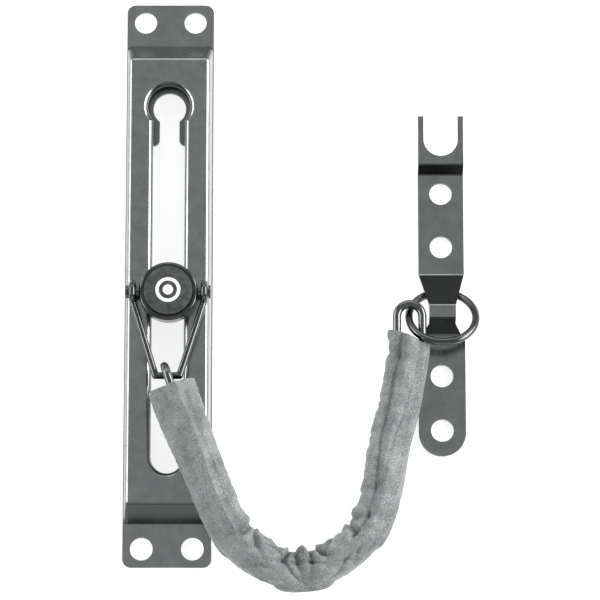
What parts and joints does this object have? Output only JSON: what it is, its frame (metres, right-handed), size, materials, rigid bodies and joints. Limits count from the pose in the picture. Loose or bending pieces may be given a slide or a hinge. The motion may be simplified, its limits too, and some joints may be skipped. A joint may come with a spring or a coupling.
{
  "type": "door chain guard",
  "caption": "Slotted rail with a sliding push-button catch, a wire bail, a sleeved chain, a ring and a forked keeper bracket that limits how far a door opens.",
  "frame": {"origin": "centre of the rail's four screw holes, on the mounting plane", "axes": "+Z out of the door face, +Y along the rail towards its keyhole, +X towards the keeper bracket"},
  "size_m": [0.0926, 0.1572, 0.019],
  "materials": {
    "rail_nickel": "polished black nickel",
    "inner_nickel": "black nickel",
    "catch_nickel": "polished black nickel",
    "spring_steel": "bright",
    "button_black": "gloss black",
    "wire_nickel": "polished black nickel",
    "chain_steel": "polished black nickel",
    "sleeve_leatherette": "grained grey leatherette",
    "bracket_nickel": "polished black nickel"
  },
  "bodies": {
    "rail": {"rail_plate": "rail_nickel", "keyhole_stop_plate": "inner_nickel"},
    "catch": {"catch_collar": "catch_nickel", "catch_rear_flange": "inner_nickel", "pivot_pins": "catch_nickel", "button_spring": "spring_steel"},
    "button": {"push_button": "button_black", "plunger": "inner_nickel"},
    "bail": {"bail_wire": "wire_nickel"},
    "link_01": {"chain_link_01": "chain_steel", "sleeve_segment_01": "sleeve_leatherette"},
    "link_02": {"chain_link_02": "chain_steel", "sleeve_segment_02": "sleeve_leatherette"},
    "link_03": {"chain_link_03": "chain_steel", "sleeve_segment_03": "sleeve_leatherette"},
    "link_04": {"chain_link_04": "chain_steel", "sleeve_segment_04": "sleeve_leatherette"},
    "link_05": {"chain_link_05": "chain_steel", "sleeve_segment_05": "sleeve_leatherette"},
    "link_06": {"chain_link_06": "chain_steel", "sleeve_segment_06": "sleeve_leatherette"},
    "link_07": {"chain_link_07": "chain_steel", "sleeve_segment_07": "sleeve_leatherette"},
    "link_08": {"chain_link_08": "chain_steel", "sleeve_segment_08": "sleeve_leatherette"},
    "link_09": {"chain_link_09": "chain_steel", "sleeve_segment_09": "sleeve_leatherette"},
    "link_10": {"chain_link_10": "chain_steel", "sleeve_segment_10": "sleeve_leatherette"},
    "link_11": {"chain_link_11": "chain_steel", "sleeve_segment_11": "sleeve_leatherette"},
    "link_12": {"chain_link_12": "chain_steel", "sleeve_segment_12": "sleeve_leatherette"},
    "ring": {"chain_ring": "wire_nickel"},
    "bracket": {"keeper_bracket": "bracket_nickel"}
  },
  "joints": [
    {"name": "catch_slide", "type": "slide", "parent": "rail", "child": "catch", "axis": [0, 1, 0], "range_m": [-0.042, 0.036]},
    {"name": "button_press", "type": "slide", "parent": "catch", "child": "button", "axis": [0, 0, 1], "range_m": [-0.0016, 0], "stiffness_N_per_m": 700, "springref_m": 0.0008, "deforming": ["button_spring"]},
    {"name": "bail_swing", "type": "hinge", "parent": "catch", "child": "bail", "pos_m": [0.00035, -0.0044, 0.011], "axis": [-1, 0, 0], "range_deg": [0, 150]},
    {"name": "link_01_turn", "type": "hinge", "parent": "bail", "child": "link_01", "pos_m": [-0.0004, -0.02422, 0.0135], "axis": [0, 0, 1], "range_deg": [-6, 30], "deforming": ["sleeve_segment_01"]},
    {"name": "link_02_turn", "type": "hinge", "parent": "link_01", "child": "link_02", "pos_m": [0.00442, -0.03821, 0.0135], "axis": [0, 0, -1], "range_deg": [-28, 12], "deforming": ["sleeve_segment_02", "sleeve_segment_01"]},
    {"name": "link_03_turn", "type": "hinge", "parent": "link_02", "child": "link_03", "pos_m": [0.00825, -0.04723, 0.0135], "axis": [0, 0, 1], "range_deg": [-12, 25], "deforming": ["sleeve_segment_03", "sleeve_segment_02"]},
    {"name": "link_04_turn", "type": "hinge", "parent": "link_03", "child": "link_04", "pos_m": [0.01378, -0.06093, 0.0126], "axis": [0, 0, -1], "range_deg": [-20, 30], "deforming": ["sleeve_segment_04", "sleeve_segment_03"]},
    {"name": "link_05_turn", "type": "hinge", "parent": "link_04", "child": "link_05", "pos_m": [0.01806, -0.06932, 0.0099], "axis": [0, 0, 1], "range_deg": [-70, 8], "deforming": ["sleeve_segment_05", "sleeve_segment_04"]},
    {"name": "link_06_turn", "type": "hinge", "parent": "link_05", "child": "link_06", "pos_m": [0.03036, -0.07672, 0.0063], "axis": [0, 0, -1], "range_deg": [-8, 75], "deforming": ["sleeve_segment_06", "sleeve_segment_05"]},
    {"name": "link_07_turn", "type": "hinge", "parent": "link_06", "child": "link_07", "pos_m": [0.04011, -0.07604, 0.0056], "axis": [0, 0, 1], "range_deg": [-75, 8], "deforming": ["sleeve_segment_07", "sleeve_segment_06"]},
    {"name": "link_08_turn", "type": "hinge", "parent": "link_07", "child": "link_08", "pos_m": [0.05178, -0.06692, 0.0056], "axis": [0, 0, -1], "range_deg": [-10, 70], "deforming": ["sleeve_segment_08", "sleeve_segment_07"]},
    {"name": "link_09_turn", "type": "hinge", "parent": "link_08", "child": "link_09", "pos_m": [0.05529, -0.05778, 0.0056], "axis": [0, 0, 1], "range_deg": [-40, 20], "deforming": ["sleeve_segment_09", "sleeve_segment_08"]},
    {"name": "link_10_turn", "type": "hinge", "parent": "link_09", "child": "link_10", "pos_m": [0.0576, -0.04316, 0.0056], "axis": [0, 0, -1], "range_deg": [-20, 15], "deforming": ["sleeve_segment_10", "sleeve_segment_09"]},
    {"name": "link_11_turn", "type": "hinge", "parent": "link_10", "child": "link_11", "pos_m": [0.0603, -0.03375, 0.0061], "axis": [0, 0, 1], "range_deg": [-8, 20], "deforming": ["sleeve_segment_11", "sleeve_segment_10"]},
    {"name": "link_12_turn", "type": "hinge", "parent": "link_11", "child": "link_12", "pos_m": [0.06287, -0.01921, 0.0071], "axis": [0, 0, -1], "range_deg": [-15, 8], "deforming": ["sleeve_segment_12", "sleeve_segment_11"]},
    {"name": "ring_turn", "type": "hinge", "parent": "link_12", "child": "ring", "pos_m": [0.06272, -0.01016, 0.0061], "axis": [0, 0, 1], "range_deg": [-2, 8]},
    {"name": "bracket_swing", "type": "hinge", "parent": "ring", "child": "bracket", "pos_m": [0.07142, -0.00286, 0.00136], "axis": [1, 0, 0], "range_deg": [-1, 12]}
  ]
}
